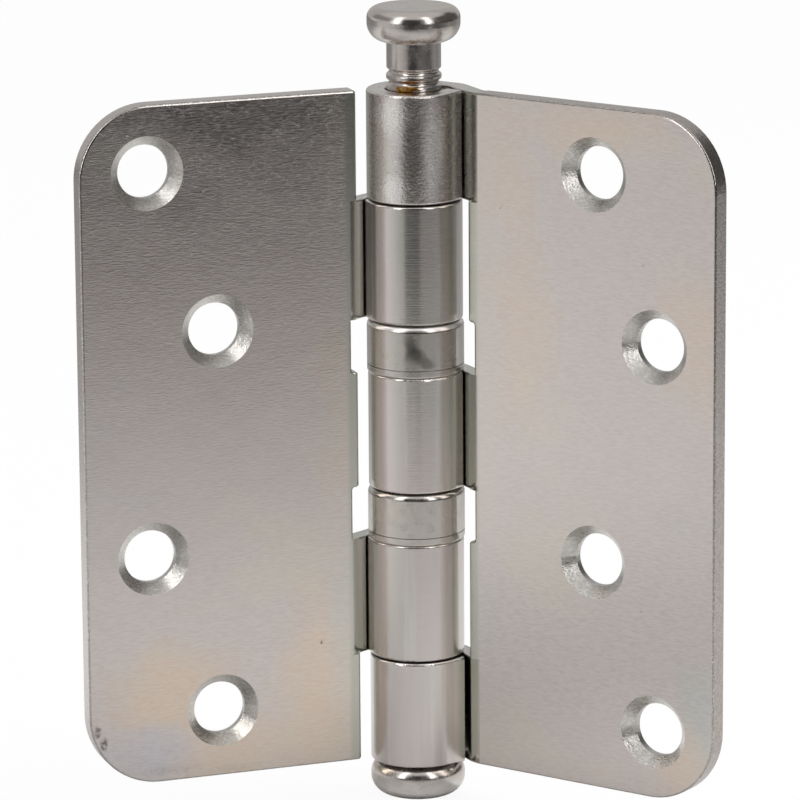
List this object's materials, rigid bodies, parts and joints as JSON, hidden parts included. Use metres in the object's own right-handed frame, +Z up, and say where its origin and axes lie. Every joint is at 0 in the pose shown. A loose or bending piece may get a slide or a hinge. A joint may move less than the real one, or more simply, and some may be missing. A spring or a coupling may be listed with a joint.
{
  "type": "ball bearing hinge",
  "caption": "Loose-pin butt hinge in bright plated steel: two rolled, round-cornered leaves with countersunk screw holes turn on caged ball bearings around a button-headed pin.",
  "frame": {"origin": "on the back of the frame leaf, in the middle of its four screw holes", "axes": "+Z up along the pin, towards its head; +Y out of the frame leaf's back; +X along the frame leaf, away from the pin"},
  "size_m": [0.0734, 0.0416, 0.1043],
  "materials": {
    "leaf": "bright zinc plate over brushed sheet steel, satin, faintly iridescent",
    "pin": "bright zinc plate, glossy, turned",
    "bearing_shell": "bright plated, smooth",
    "race": "ground steel, greased",
    "cage": "pressed sheet steel, greased",
    "ball": "polished bearing steel"
  },
  "bodies": {
    "frame": {"frame_leaf": "leaf", "bottom_plug": "pin", "upper_bearing_lower_race": "bearing_shell", "lower_bearing_shell": "bearing_shell", "lower_bearing_upper_race": "race"},
    "door": {"door_leaf": "leaf", "upper_bearing_shell": "bearing_shell", "upper_bearing_upper_race": "race", "lower_bearing_lower_race": "bearing_shell"},
    "pin": {"hinge_pin": "pin"},
    "upper_ball_set": {"upper_bearing_cage": "cage", "upper_bearing_ball_01": "ball", "upper_bearing_ball_02": "ball", "upper_bearing_ball_03": "ball", "upper_bearing_ball_04": "ball", "upper_bearing_ball_05": "ball", "upper_bearing_ball_06": "ball", "upper_bearing_ball_07": "ball", "upper_bearing_ball_08": "ball", "upper_bearing_ball_09": "ball", "upper_bearing_ball_10": "ball", "upper_bearing_ball_11": "ball", "upper_bearing_ball_12": "ball"},
    "lower_ball_set": {"lower_bearing_cage": "cage", "lower_bearing_ball_01": "ball", "lower_bearing_ball_02": "ball", "lower_bearing_ball_03": "ball", "lower_bearing_ball_04": "ball", "lower_bearing_ball_05": "ball", "lower_bearing_ball_06": "ball", "lower_bearing_ball_07": "ball", "lower_bearing_ball_08": "ball", "lower_bearing_ball_09": "ball", "lower_bearing_ball_10": "ball", "lower_bearing_ball_11": "ball", "lower_bearing_ball_12": "ball"}
  },
  "joints": [
    {"name": "leaf_swing", "type": "hinge", "parent": "frame", "child": "door", "pos_m": [-0.03102, -0.00335, 0], "axis": [0, 0, -1], "range_deg": [-126, 164]},
    {"name": "pin_lift", "type": "slide", "parent": "frame", "child": "pin", "axis": [0, 0, 1], "range_m": [-0.0061, 0.08]},
    {"name": "upper_ball_turn", "type": "hinge", "parent": "frame", "child": "upper_ball_set", "pos_m": [-0.03102, -0.00335, 0], "axis": [0, 0, -1], "range_deg": [-63, 82]},
    {"name": "lower_ball_turn", "type": "hinge", "parent": "frame", "child": "lower_ball_set", "pos_m": [-0.03102, -0.00335, 0], "axis": [0, 0, -1], "range_deg": [-63, 82]}
  ],
  "couplings": [
    {"joint": "upper_ball_turn", "follows": "leaf_swing", "ratio": 0.5},
    {"joint": "lower_ball_turn", "follows": "leaf_swing", "ratio": 0.5}
  ]
}
